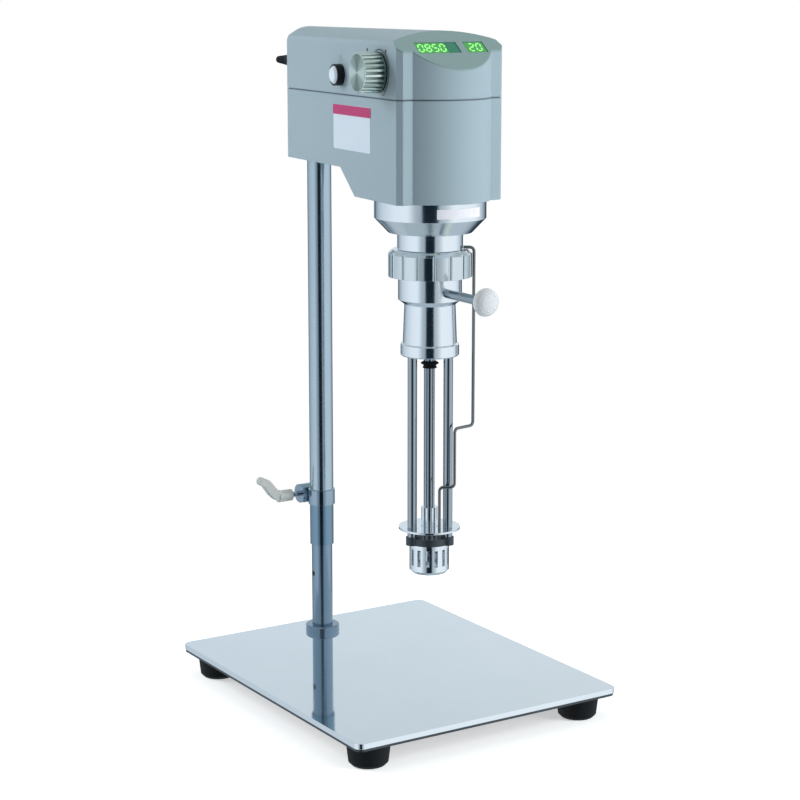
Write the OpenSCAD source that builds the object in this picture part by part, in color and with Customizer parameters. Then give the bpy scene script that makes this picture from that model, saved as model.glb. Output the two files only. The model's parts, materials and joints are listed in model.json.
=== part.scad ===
// High-shear homogenizer on a height-adjustable stand.
// The mixing axis and the column stand on the plane x = 0, the operator is at -Y,
// and z = 0 is the bench under the four feet.

/* [Stand] */
// Width of the base plate
plate_w = 300; // [240:1:360]
// Depth of the base plate
plate_d = 358; // [330:1:420]
// Thickness of the base plate over its folded edge
plate_t = 8; // [6:0.5:12]
// Corner radius of the base plate
plate_r = 8; // [4:0.5:16]
// Thickness of the polished sheet that covers the plate
skin_t = 1.5; // [1:0.1:2]
// Height of a rubber foot below the plate
foot_h = 24; // [16:0.5:30]
// Radius of a foot where it meets the plate
foot_top_r = 21.5; // [18:0.5:24]
// Radius of a foot at the bench
foot_low_r = 19; // [15:0.5:20]
// Distance of a foot's centre from the two nearest plate edges
foot_inset = 28; // [26:0.5:45]
// Distance of the column's axis from the plate's rear edge
post_inset = 36.5; // [31:0.5:49]
// Radius of the inner post
post_r = 11; // [8:0.25:14]
// Height of the inner post above the plate
post_h = 448; // [400:1:470]
// Radius of the collar at the foot of the post
collar_r = 18; // [15.5:0.5:22]
// Height of the collar at the foot of the post
collar_h = 6.5; // [4:0.5:10]

/* [Sliding column] */
// Wall of the outer tube
tube_wall = 1.45; // [1.2:0.05:3]
// Height of the tube's lower end above the bench, at rest
tube_low = 128; // [110:1:150]
// Height of the clamp band above the tube's lower end
clamp_up = 44; // [35:0.5:60]
// Height of the clamp band
clamp_h = 16; // [13:0.5:24]
// Wall of the clamp band
clamp_wall = 1.5; // [1:0.1:3]
// Radius of the rounded clamp ears
ear_r = 10; // [9:0.5:13]
// Radius of the clamp screw
clamp_screw_r = 3; // [2.5:0.25:4]
// Length of the clamp lever from its hub to its tip
lever_reach = 34; // [28:0.5:44]

/* [Head] */
// Distance from the column forward to the mixing axis
reach = 210; // [200:1:215]
// Half of the head's width at the front corners
head_front_half = 58.9; // [57:0.1:66]
// Half of the head's width at the back
head_rear_half = 27; // [25:0.1:34]
// Distance from the column back to the head's rear face
head_rear = 20; // [19:0.5:26]
// Distance from the mixing axis forward to the shoulder plane
shoulder_out = 37.1; // [34:0.1:40]
// Size of the chamfer on the two front corners
corner_cut = 4.5; // [2:0.1:7]
// Radius of the vertical corners at the back
rear_corner_r = 5; // [4:0.25:8]
// Radius of the round front of the head, about the mixing axis
bulge_r = 57.3; // [56:0.1:60]
// Height of the head's deep front floor above the bench
head_low = 514.5; // [505:0.5:520]
// How much higher the rear floor is than the front floor
floor_step = 26; // [18:0.5:32]
// Length over which the floor climbs that step
step_run = 34; // [20:0.5:45]
// Distance from the mixing axis back to the foot of the step
step_back = 60.5; // [58:0.5:70]
// Height of the parting seam above the front floor
seam_up = 96.3; // [92:0.5:100]
// Height of the roof's long edges above the seam
roof_up = 55.2; // [52:0.5:60]
// Rise of the roof's crown above its long edges
crown = 7; // [3:0.5:10]
// Wall of the two housing shells
wall = 3; // [2.5:0.1:4]
// Radius along the roof's edges
roof_edge_r = 6; // [3:0.5:9]
// Angle of the display facet from level
facet_tilt = 38.7; // [34:0.1:44]
// Height of the facet's lowest point above the seam
facet_up = 28; // [24:0.5:34]

/* [Controls] */
// Radius of the speed knob
knob_r = 19; // [15:0.25:21]
// Length of the speed knob
knob_len = 22.5; // [14:0.5:24]
// Number of ribs round the speed knob
knob_ribs = 24; // [18:1:36]
// Height of the speed knob's axis above the seam
knob_up = 24.4; // [22:0.1:28]
// Distance of the knob's axis behind the front corner, along the side
knob_back = 34.5; // [28:0.5:40]
// Distance of the power button behind the front corner, along the side
button_back = 125.5; // [110:0.5:150]
// Height of the power button above the seam
button_up = 18.7; // [16:0.1:24]
// Radius of the power button's cap
button_r = 8.6; // [7:0.1:10]
// Travel of the power button
button_travel = 3; // [2:0.25:3.5]
// Length of the cable boot behind the head
boot_len = 34; // [20:1:45]

/* [Drive and union] */
// Outer radius of the motor flange
flange_r = 53.6; // [52:0.1:56]
// Height of the flange's cylindrical rim
flange_h = 17; // [12:0.5:20]
// Radius where the flange's cone ends
cone_r = 40.4; // [36:0.1:44]
// Height of the flange's cone
cone_h = 13.8; // [10:0.1:18]
// Radius of the flange's neck
neck_r = 31.5; // [29.5:0.1:33]
// Height of the neck above the union nut
neck_h = 16.3; // [15:0.1:22]
// Outer radius of the union nut
nut_r = 40.2; // [38.5:0.1:41]
// Height of the union nut
nut_h = 26.3; // [25:0.1:30]
// Number of flutes round the union nut
nut_flutes = 16; // [10:1:20]
// Radius of the motor shaft
motor_shaft_r = 7; // [6:0.25:8]
// Radius of the motor can
can_r = 50; // [47:0.5:51]
// Height of the motor can
can_h = 100; // [97:0.5:101]

/* [Work head] */
// Radius of the collar under the union nut
neckring_r = 30.7; // [29.5:0.1:31.5]
// Radius of the slim barrel
barrel_r = 25.4; // [23:0.1:28]
// Radius of the lower flange
low_flange_r = 28.3; // [27:0.1:31]
// Length of the collar that shows under the union nut
neckring_h = 22.2; // [20:0.1:26]
// Length of the barrel between its collar and its lower flange
barrel_h = 42.6; // [36:0.1:50]
// Height of the lower flange
low_flange_h = 12; // [9:0.5:15]
// Length of the support rods
rod_len = 179; // [160:1:190]
// Radius of a support rod
rod_r = 4.6; // [4:0.1:5.5]
// Distance of the support rods from the mixing axis
rod_circle = 20; // [18.5:0.1:21.5]
// Radius of the drive shaft
shaft_r = 5; // [4:0.1:5.5]
// Radius of the bearing housing above the stator plate
hub_r = 7.9; // [7.5:0.1:9]
// Height of the bearing housing above the stator plate
hub_h = 28; // [20:0.5:34]
// Radius of the baffle disc
disc_r = 30; // [28:0.5:34]
// Thickness of the baffle disc
disc_t = 2; // [1.5:0.1:3]
// Outer radius of the stator
stator_r = 19.5; // [17:0.1:20]
// Height of the stator
stator_h = 30; // [24:0.5:36]
// Wall of the stator
stator_wall = 3; // [2:0.1:4]
// Number of slots in the stator
stator_slots = 14; // [8:1:18]
// Thickness of the stator plate
carrier_t = 8; // [6:0.5:10]
// Radial gap between rotor and stator
shear_gap = 0.4; // [0.2:0.05:1]
// Radius of the lifting wire
wire_r = 1.5; // [1:0.1:1.6]
// Distance of the handle's knob from the mixing axis
handle_reach = 95; // [80:1:100]
// Radius of the handle's knob
handle_knob_r = 13.25; // [9:0.25:16]

/* [Hidden] */
$fn = 64;

// Overrun of a cut past the face that it opens
over = 1;
// Radial clearance of a running fit
run_fit = 0.05;
// Radial clearance of a seated piece
seat_fit = 0.02;
// Gap between faces of pieces that move past each other
air = 0.3;
// Height of the top face of the plate
plate_top = foot_h + plate_t;
// Distance from the plate's middle back to the column
post_y = plate_d / 2 - post_inset;
// The boot reaches behind the plate, so the origin is the middle of both
boot_end = post_y + head_rear + boot_len;
frame_y = -max(0, boot_end - plate_d / 2) / 2;
// Fasteners
foot_screw_r = 2.5;
foot_head_r = 5;
foot_head_h = 4;
foot_pocket_r = foot_head_r * 1.2;
foot_pocket_h = 14;
stop_r = 3;
stop_depth = 4;
stop_share = 0.73;
post_bolt_r = 5;
post_bolt_grip = 22;
post_bolt_head_r = 8.5;
post_bolt_head_h = 5.5;
small_screw_r = 1.5;

// The post stands on the core, in a hole through the polished sheet
post_low = plate_top - skin_t;
post_len = post_h + skin_t;
stop_z = tube_low - clamp_up * stop_share;

// The column
tube_r = post_r + run_fit + tube_wall;
tube_bore_r = post_r + run_fit;
head_rear_floor = head_low + floor_step;
tube_seat = 57;
tube_top = head_rear_floor + tube_seat;
clamp_low = tube_low + clamp_up;
clamp_mid = clamp_low + clamp_h / 2;
clamp_r = tube_r + clamp_wall;
slit_w = 3;
slit_past = 6;
slit_h = clamp_up + clamp_h + slit_past;
ear_sink = 1;
ear_y = post_y + tube_r + ear_r - ear_sink;
ear_left = 14;
ear_right = 7;
lever_gap = 10;
lever_hub_len = 16;
lever_hub_r = 6.2;

// The head in plan
axis_y = post_y - reach;
rear_y = post_y + head_rear;
shoulder_y = axis_y - shoulder_out;
side_y = shoulder_y + corner_cut;
taper = atan((head_front_half - head_rear_half) / (rear_y - side_y));
seam_z = head_low + seam_up;
roof_z = seam_z + roof_up;
seam_gap = 0.8;
lip_h = 3;
lip_wall = wall / 2;
corner_steps = 6;
bulge_steps = 40;
facet_z = seam_z + facet_up;
panel_t = 1.2;
facet_y = axis_y - bulge_r;

// The drive
flange_low = head_low - flange_h;
cone_low = flange_low - cone_h;
nut_top = cone_low - neck_h;
nut_low = nut_top - nut_h;
thread_r = 27;
thread_up = 11;
thread_low = nut_low + thread_up;
flange_bore_r = 16;
flange_throat_r = flange_bore_r * 0.75;
can_wall = 1.5;
can_low = head_low + wall;
motor_bearing_r = 16;
motor_bearing_h = 9;
bearing_low = can_low - motor_bearing_h;
field_up = 26;
field_low = can_low + field_up;
field_h = 48;
field_r = can_r - can_wall;
field_bore_r = 30;
armature_gap = 0.6;
armature_r = field_bore_r - armature_gap;
commutator_r = 15;
commutator_h = 12;
commutator_gap = 4;
commutator_low = field_low + field_h + commutator_gap;
end_cap_t = 5;

// The work head
ring_low = nut_low - neckring_h;
barrel_cone_h = 4.6;
barrel_low = ring_low - barrel_h;
low_flange_low = barrel_low - low_flange_h;
carrier_low = low_flange_low - rod_len - carrier_t;
carrier_top = carrier_low + carrier_t;
capture_r = 33.5;
capture_h = 4.5;
capture_low = thread_low - air - capture_h;
lobe_edge = 1.5;
lobe_r = rod_r + lobe_edge;
spigot_r = 3;
spigot_h = 9;
rod_angles = [60, 180, 300];
stator_low = carrier_low - stator_h;
stator_bore_r = stator_r - stator_wall;
rotor_r = stator_bore_r - shear_gap;
rotor_up = 3;
rotor_room = 6;
rotor_low = stator_low + rotor_up;
rotor_h = stator_h - rotor_up - rotor_room;
rotor_blades = 4;
disc_up = 6.5;
disc_low = carrier_top + disc_up;
handle_down_share = 0.62;
handle_z = nut_low - neckring_h * handle_down_share;
handle_rod_r = 4.4;
wire_turn = -34;
wire_out = nut_r + air + wire_r;

// Points of an arc about a centre, in equal steps
function arc(centre, r, from, to, steps) = [
    for (i = [0:steps])
        let (a = from + (to - from) * i / steps)
        centre + r * [cos(a), sin(a)]
];

// Half of the head's width at a place along Y
function half_at(y) = head_rear_half + (rear_y - y) * tan(taper);

// Outline of the head in plan, drawn in by an inset
function right_side(inset) =
    let (
        r = max(rear_corner_r - inset, 1),
        cy = rear_y - rear_corner_r,
        cx = half_at(cy) - rear_corner_r / cos(taper),
        k = inset * tan(22.5),
        half_angle = acos((shoulder_out - inset) / (bulge_r - inset))
    )
    concat(
        arc([0, axis_y], bulge_r - inset, -90, -90 + half_angle, bulge_steps / 2),
        [
            [half_at(side_y) - corner_cut - k, shoulder_y + inset],
            [half_at(side_y) - inset / cos(taper), side_y + k]
        ],
        arc([cx, cy], r, taper, 90, corner_steps)
    );

function mirrored(points) = [
    for (i = [len(points) - 1:-1:0]) [-points[i][0], points[i][1]]
];

module head_plan(inset) {
    polygon(concat(right_side(inset), mirrored(right_side(inset))));
}

// The part of the plan that leaves out the round front
function straight_side(inset) =
    let (points = right_side(inset))
    [for (i = [bulge_steps / 2 + 1:len(points) - 1]) points[i]];

module straight_plan(inset) {
    polygon(concat(straight_side(inset), mirrored(straight_side(inset))));
}

// Puts a node's solid into the object's frame
module placed() {
    translate([0, frame_y, 0]) children();
}

// A piece on the mixing axis, at a height
module on_axis(z) {
    translate([0, axis_y, z]) children();
}

// A piece on the post's axis, at a height
module on_post(z) {
    translate([0, post_y, z]) children();
}

module ring(outer, inner, h) {
    difference() {
        cylinder(r = outer, h = h);
        translate([0, 0, -over]) cylinder(r = inner, h = h + 2 * over);
    }
}

// Something on the left side of the head: back is measured along the side from the
// front corner, z is the height, and the piece's own +Z points out of the side
module on_side(back, z) {
    translate([-half_at(side_y), side_y, z])
        rotate([0, 0, -taper])
            translate([0, back, 0])
                rotate([0, -90, 0])
                    children();
}

// Something on the display facet: across is along X, up is along the slope from its
// lowest point, and the piece's own +Z points out of the facet
module on_facet(across, up) {
    translate([0, facet_y, facet_z])
        rotate([facet_tilt, 0, 0])
            translate([across, up, 0])
                children();
}

module rounded_slab(w, d, r, h) {
    translate([-w / 2 + r, -d / 2, 0]) cube([w - 2 * r, d, h]);
    translate([-w / 2, -d / 2 + r, 0]) cube([w, d - 2 * r, h]);
    for (sx = [-1, 1], sy = [-1, 1])
        translate([sx * (w / 2 - r), sy * (d / 2 - r), 0]) cylinder(r = r, h = h);
}

module at_feet() {
    for (sx = [-1, 1], sy = [-1, 1])
        translate([sx * (plate_w / 2 - foot_inset), sy * (plate_d / 2 - foot_inset), 0])
            children();
}

// Polished sheet folded down over the plate's edge
skin_edge_share = 0.68;
skin_edge = plate_t * skin_edge_share;
module base_skin() {
    color("silver")
    difference() {
        translate([0, 0, plate_top - skin_edge])
            rounded_slab(plate_w, plate_d, plate_r, skin_edge);
        translate([0, 0, plate_top - skin_edge - over])
            rounded_slab(plate_w - 2 * skin_t, plate_d - 2 * skin_t, plate_r - skin_t,
                skin_edge - skin_t + over);
        on_post(plate_top - skin_edge) cylinder(r = collar_r + seat_fit, h = skin_edge + over);
    }
}

module base_core() {
    lip = plate_t - skin_edge;
    inset = skin_t + run_fit;
    color("dimgray")
    difference() {
        union() {
            translate([0, 0, foot_h])
                rounded_slab(plate_w - skin_t / 2, plate_d - skin_t / 2, plate_r, lip);
            translate([0, 0, foot_h])
                rounded_slab(plate_w - 2 * inset, plate_d - 2 * inset, plate_r - skin_t,
                    plate_t - skin_t);
        }
        on_post(foot_h - over) cylinder(r = post_bolt_r + run_fit, h = plate_t + 2 * over);
        translate([0, 0, foot_h - over]) at_feet()
            cylinder(r = foot_screw_r + seat_fit, h = plate_t - skin_t);
    }
}

module foot(sx, sy) {
    edge = foot_h / 8;
    color("#1b1b1c")
    translate([sx * (plate_w / 2 - foot_inset), sy * (plate_d / 2 - foot_inset), 0])
    difference() {
        rotate_extrude() polygon([
            [0, 0], [foot_low_r - edge, 0], [foot_low_r, edge], [foot_top_r, foot_h], [0, foot_h]
        ]);
        translate([0, 0, -over]) cylinder(r = foot_pocket_r, h = foot_pocket_h + over);
        cylinder(r = foot_screw_r + run_fit, h = foot_h + over);
    }
}

module foot_screws() {
    color("gray")
    at_feet() {
        translate([0, 0, foot_pocket_h - foot_head_h]) cylinder(r = foot_head_r, h = foot_head_h);
        translate([0, 0, foot_pocket_h - foot_head_h])
            cylinder(r = foot_screw_r, h = foot_h - foot_pocket_h + foot_head_h + plate_t / 2);
    }
}

module post() {
    cut = post_r / 10;
    color("silver")
    difference() {
        on_post(post_low) {
            cylinder(r = post_r, h = post_len - cut);
            translate([0, 0, post_len - cut]) cylinder(r1 = post_r, r2 = post_r - cut, h = cut);
        }
        on_post(post_low - over)
            cylinder(r = post_bolt_r + seat_fit, h = post_bolt_grip + over);
        on_post(stop_z) rotate([0, -90, 0])
            translate([0, 0, post_r - stop_depth])
                cylinder(r = stop_r + seat_fit, h = stop_depth + over);
    }
}

module post_collar() {
    lip = collar_h / 6;
    top = collar_h + skin_t;
    color("silver")
    on_post(post_low)
    rotate_extrude() polygon([
        [post_r + seat_fit, 0], [collar_r, 0], [collar_r, top - lip],
        [collar_r - lip, top], [post_r + seat_fit, top]
    ]);
}

module post_bolt() {
    color("gray")
    on_post(foot_h - post_bolt_head_h) {
        cylinder(r = post_bolt_head_r, h = post_bolt_head_h);
        cylinder(r = post_bolt_r,
            h = post_bolt_head_h + plate_t - skin_t + post_bolt_grip - over);
    }
}

module post_stop_screw() {
    flat = stop_depth / 8;
    hex_r = stop_r * 0.45;
    color("dimgray")
    on_post(stop_z) rotate([0, -90, 0])
    translate([0, 0, post_r - stop_depth])
    difference() {
        cylinder(r = stop_r, h = stop_depth - flat);
        translate([0, 0, stop_depth / 2]) cylinder(r = hex_r, h = stop_depth, $fn = 6);
    }
}

module column_tube() {
    color("silver")
    difference() {
        on_post(tube_low) ring(tube_r, tube_bore_r, tube_top - tube_low);
        translate([-slit_w / 4, post_y, tube_low - over])
            cube([slit_w / 2, tube_r + over, slit_h + over]);
    }
}

// Split band with two rounded ears behind the tube
module clamp_ear(from, to) {
    translate([from, ear_y, clamp_mid]) rotate([0, 90, 0]) cylinder(r = ear_r, h = to - from);
    translate([from, post_y + tube_r, clamp_low])
        cube([to - from, ear_y - post_y - tube_r, clamp_h]);
}

module clamp_band() {
    color("silver")
    difference() {
        union() {
            on_post(clamp_low) cylinder(r = clamp_r, h = clamp_h);
            clamp_ear(-slit_w / 2 - ear_left, -slit_w / 2);
            clamp_ear(slit_w / 2, slit_w / 2 + ear_right);
        }
        on_post(clamp_low - over) cylinder(r = tube_r + seat_fit, h = clamp_h + 2 * over);
        translate([-slit_w / 2, post_y, clamp_low - over])
            cube([slit_w, tube_r + clamp_wall + over, clamp_h + 2 * over]);
        translate([-slit_w - ear_left, ear_y, clamp_mid]) rotate([0, 90, 0])
            cylinder(r = clamp_screw_r + run_fit, h = ear_left + ear_right + 2 * slit_w);
    }
}

nut_af_r = clamp_screw_r * 1.85;
nut_t = clamp_screw_r * 1.6;
module clamp_nut() {
    color("gray")
    translate([slit_w / 2 + ear_right, ear_y, clamp_mid]) rotate([0, 90, 0])
    difference() {
        cylinder(r = nut_af_r, h = nut_t, $fn = 6);
        translate([0, 0, -over])
            cylinder(r = clamp_screw_r + run_fit, h = nut_t + 2 * over);
    }
}

lever_start = -slit_w / 2 - ear_left - lever_gap;
module clamp_screw() {
    color("silver")
    translate([lever_start - lever_hub_len / 2, ear_y, clamp_mid]) rotate([0, 90, 0])
        cylinder(r = clamp_screw_r,
            h = slit_w / 2 + ear_right + nut_t + over - lever_start + lever_hub_len / 2);
}

// S-shaped lever: it leaves the hub along the screw and bends up to its tip
lever_shares = [
    [0.34, 0, 1], [0.5, 0.04, 0.96], [0.65, 0.16, 0.9], [0.79, 0.34, 0.86],
    [0.9, 0.48, 0.84], [1.03, 0.545, 0.82]
];
module clamp_lever() {
    blade_r = lever_hub_r * 0.86;
    blade_w = lever_hub_r * 1.7;
    color("gainsboro")
    translate([lever_start, ear_y, clamp_mid])
    difference() {
        union() {
            rotate([0, -90, 0]) cylinder(r = lever_hub_r, h = lever_hub_len);
            for (i = [0:len(lever_shares) - 2])
                hull() for (s = [lever_shares[i], lever_shares[i + 1]])
                    translate([-s[0] * lever_reach, blade_w * s[2] / 2, s[1] * lever_reach])
                        rotate([90, 0, 0])
                            cylinder(r = blade_r * s[2], h = blade_w * s[2], $fn = 32);
        }
        rotate([0, 90, 0]) translate([0, 0, -lever_hub_len / 2])
            cylinder(r = clamp_screw_r + seat_fit, h = lever_hub_len);
    }
}

// A space along X whose outline in Y and Z follows the stepped floor, above it by a wall
module above_floor(up, top) {
    step_y = axis_y + step_back;
    slope = atan(floor_step / step_run);
    k = up * tan(slope / 2);
    span = head_front_half * 2 + 2 * over;
    rotate([90, 0, 90]) translate([0, 0, -span / 2]) linear_extrude(height = span)
    polygon([
        [axis_y - bulge_r - over, head_low + up], [step_y - k, head_low + up],
        [step_y + step_run - k, head_rear_floor + up], [rear_y + over, head_rear_floor + up],
        [rear_y + over, top], [axis_y - bulge_r - over, top]
    ]);
}

module lower_housing() {
    lip_top = seam_z + lip_h;
    shell_top = seam_z - seam_gap / 2;
    color("#a3adad")
    difference() {
        intersection() {
            union() {
                translate([0, 0, head_low]) linear_extrude(height = shell_top - head_low)
                    head_plan(0);
                translate([0, 0, head_low]) linear_extrude(height = lip_top - head_low)
                    head_plan(lip_wall);
            }
            above_floor(0, lip_top + over);
        }
        intersection() {
            translate([0, 0, head_low]) linear_extrude(height = seam_up + 2 * lip_h)
                head_plan(wall);
            above_floor(wall, lip_top + 2 * over);
        }
        on_axis(head_low - over) cylinder(r = can_r - 2 * wall, h = wall + 2 * over);
        on_post(head_rear_floor - over) cylinder(r = tube_r + air, h = wall + 2 * over);
        chassis_screw_places() translate([0, 0, -wall / 2])
            cylinder(r = small_screw_r + seat_fit, h = wall);
    }
}

// The cover's solid form, drawn in by an inset
module roof_arch(half, y) {
    low = roof_z - roof_edge_r;
    r = (half * half + crown * crown) / (2 * crown);
    sweep = asin(half / r);
    translate([0, y, 0]) rotate([90, 0, 0]) linear_extrude(height = over / 50)
        polygon(concat([[-half, low], [half, low]],
            arc([0, roof_z + crown - r], r, 90 - sweep, 90 + sweep, 16)));
}

module round_front(low, inset) {
    back = shoulder_y + inset + roof_edge_r;
    intersection() {
        on_axis(low) cylinder(r = bulge_r - inset, h = roof_z - low);
        translate([-bulge_r, axis_y - bulge_r, low])
            cube([2 * bulge_r, back - axis_y + bulge_r, roof_z - low]);
    }
}

module cover_form(inset) {
    bevel = roof_edge_r * (1 - cos(45));
    front_half = half_at(side_y) - corner_cut;
    sheet = over / 50;
    base = seam_z + seam_gap / 2 - (inset > 0 ? over : 0);
    module layer(z, draw) {
        translate([0, 0, z]) linear_extrude(height = sheet) straight_plan(inset + draw);
    }
    translate([0, 0, -inset]) intersection() {
        union() {
            hull() {
                layer(base + inset, 0);
                layer(roof_z - roof_edge_r, 0);
                layer(roof_z - bevel, bevel);
                roof_arch(half_at(rear_y) - inset - roof_edge_r, rear_y - inset - bevel);
                roof_arch(front_half - inset - bevel, shoulder_y + inset + bevel);
            }
            round_front(base + inset, inset);
        }
        on_facet_below(panel_t);
    }
}

// Everything that lies under the facet by a depth
module on_facet_below(depth) {
    big = plate_d;
    on_facet(-big / 2, -big / 2) translate([0, 0, -big - depth]) cube([big, 2 * big, big]);
}

module top_cover() {
    base = seam_z + seam_gap / 2;
    side_bore = wall * 3;
    color("#a3adad")
    difference() {
        cover_form(0);
        cover_form(wall);
        translate([0, 0, base - over]) linear_extrude(height = lip_h + over)
            head_plan(lip_wall - run_fit);
        on_side(knob_back, seam_z + knob_up) translate([0, 0, -side_bore])
            cylinder(r = bush_r + run_fit, h = side_bore + over);
        on_side(button_back, seam_z + button_up) translate([0, 0, -side_bore])
            cylinder(r = button_r + button_gap, h = side_bore + over);
        on_facet(display_mid[0], display_up) window_cut(display_w[0]);
        on_facet(display_mid[1], display_up) window_cut(display_w[1]);
        translate([gland_x, rear_y, gland_z]) rotate([-90, 0, 0])
            translate([0, 0, -side_bore]) cylinder(r = gland_r + seat_fit, h = side_bore + over);
    }
}

// Display windows: speed on the left, time on the right
display_w = [46, 22];
display_mid = [-14, 28];
display_up = 30.8;
display_h = 15;
module window_cut(w) {
    translate([-w / 2 - air / 3, -display_h / 2 - air / 3, -4 * wall])
        cube([w + 2 * air / 3, display_h + 2 * air / 3, 4 * wall + over]);
}

module display_panel() {
    sheet = panel_t - seat_fit;
    color("#3c4a46")
    difference() {
        intersection() {
            panel_form();
            on_facet(-plate_w / 2, -plate_w / 2) translate([0, 0, -panel_t + seat_fit])
                cube([plate_w, plate_w, sheet]);
        }
        on_facet(display_mid[0], display_up) window_cut(display_w[0]);
        on_facet(display_mid[1], display_up) window_cut(display_w[1]);
    }
}

// The cover's outer form before the facet takes its slice off
module panel_form() {
    bevel = roof_edge_r * (1 - cos(45));
    front_half = half_at(side_y) - corner_cut;
    sheet = over / 50;
    hull() {
        translate([0, 0, seam_z]) linear_extrude(height = sheet) straight_plan(0);
        translate([0, 0, roof_z - roof_edge_r]) linear_extrude(height = sheet) straight_plan(0);
        translate([0, 0, roof_z - bevel]) linear_extrude(height = sheet) straight_plan(bevel);
        roof_arch(half_at(rear_y) - roof_edge_r, rear_y - bevel);
        roof_arch(front_half - bevel, shoulder_y + bevel);
    }
    round_front(seam_z, 0);
}

display_t = 4;
module display(i) {
    on_facet(display_mid[i], display_up)
        translate([-display_w[i] / 2, -display_h / 2, -panel_t / 2 - display_t])
            cube([display_w[i], display_h, display_t]);
}

module speed_display() {
    color("#1e5b3a") display(0);
}

module time_display() {
    color("#1e5b3a") display(1);
}

// Speed knob with its dark scale ring and the control behind it
bush_r = 5;
bush_out = 2;
spindle_r = 3;
spindle_in = 4;
scale_r = 21.8;
scale_t = 1;
module knob_scale() {
    color("#2a2c2c")
    on_side(knob_back, seam_z + knob_up) ring(scale_r, bush_r + run_fit, scale_t);
}

module speed_control() {
    body_r = 12;
    body_h = 12;
    color("gray")
    on_side(knob_back, seam_z + knob_up)
    difference() {
        union() {
            translate([0, 0, -wall - body_h]) cylinder(r = body_r, h = body_h);
            translate([0, 0, -wall - body_h])
                cylinder(r = bush_r, h = wall + body_h + scale_t + bush_out);
        }
        translate([0, 0, -wall - body_h / 2])
            cylinder(r = spindle_r + run_fit, h = wall + body_h + scale_t);
    }
}

// Its grip is cut by round flutes between a plain skirt and the chamfered face
knob_low = scale_t + air;
knob_bore_r = bush_r + bush_out;
knob_bore_h = 2 * bush_out;
module speed_knob() {
    chamfer = knob_r / 24;
    skirt_h = knob_len / 8;
    flute_r = 2.1 * knob_r / knob_ribs;
    color("silver")
    on_side(knob_back, seam_z + knob_up) {
        translate([0, 0, knob_low])
        difference() {
            union() {
                cylinder(r = knob_r, h = knob_len - chamfer);
                translate([0, 0, knob_len - chamfer])
                    cylinder(r1 = knob_r, r2 = knob_r - chamfer, h = chamfer);
            }
            for (i = [0:knob_ribs - 1]) rotate([0, 0, i * 360 / knob_ribs])
                translate([knob_r + flute_r * 0.35, 0, skirt_h])
                    cylinder(r = flute_r, h = knob_len, $fn = 24);
            translate([0, 0, -over]) cylinder(r = knob_bore_r, h = knob_bore_h + over);
        }
        translate([0, 0, -wall - spindle_in])
            cylinder(r = spindle_r, h = wall + spindle_in + knob_low + knob_len / 2);
    }
}

// Power switch: black bezel, white cap and the switch behind them
bezel_r = 10.4;
bezel_t = 7.5;
button_gap = 0.6;
cap_out = 9.4;
module switch_bezel() {
    color("#161616")
    on_side(button_back, seam_z + button_up) ring(bezel_r, button_r + air, bezel_t);
}

module switch_body() {
    deep = 14;
    spring_room = 7;
    color("#262626")
    on_side(button_back, seam_z + button_up)
    translate([0, 0, -wall - deep])
    difference() {
        cylinder(r = bezel_r, h = deep);
        translate([0, 0, deep - button_travel - spring_room])
            cylinder(r = button_r + air, h = deep);
    }
}

module power_button() {
    dome = cap_out / 5;
    color("whitesmoke")
    on_side(button_back, seam_z + button_up)
    translate([0, 0, -wall])
    rotate_extrude() polygon([
        [0, 0], [button_r, 0], [button_r, wall + cap_out - dome],
        [button_r - dome, wall + cap_out], [0, wall + cap_out]
    ]);
}

// Cable entry at the back
gland_r = 6.5;
gland_x = -16;
gland_z = seam_z + roof_up / 2;
gland_flange_r = 9;
gland_out = 4;
module cable_gland() {
    color("#1a1a1a")
    translate([gland_x, rear_y, gland_z]) rotate([-90, 0, 0])
    difference() {
        union() {
            translate([0, 0, -2 * wall]) cylinder(r = gland_r, h = 2 * wall);
            cylinder(r = gland_flange_r, h = gland_out);
        }
        translate([0, 0, -2 * wall - over])
            cylinder(r = gland_r / 2, h = 2 * wall + gland_out + 2 * over);
    }
}

module cable_boot() {
    tip_r = gland_r * 0.55;
    bore_r = gland_r * 0.42;
    color("#121212")
    translate([gland_x, rear_y + gland_out, gland_z]) rotate([-90, 0, 0])
    difference() {
        cylinder(r1 = gland_r, r2 = tip_r, h = boot_len - gland_out);
        translate([0, 0, -over]) cylinder(r = bore_r, h = boot_len + 2 * over);
        for (i = [1:4]) translate([0, 0, boot_len * (0.2 + 0.13 * i)])
            ring(gland_r, tip_r * 0.95, boot_len / 24);
    }
}

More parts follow.
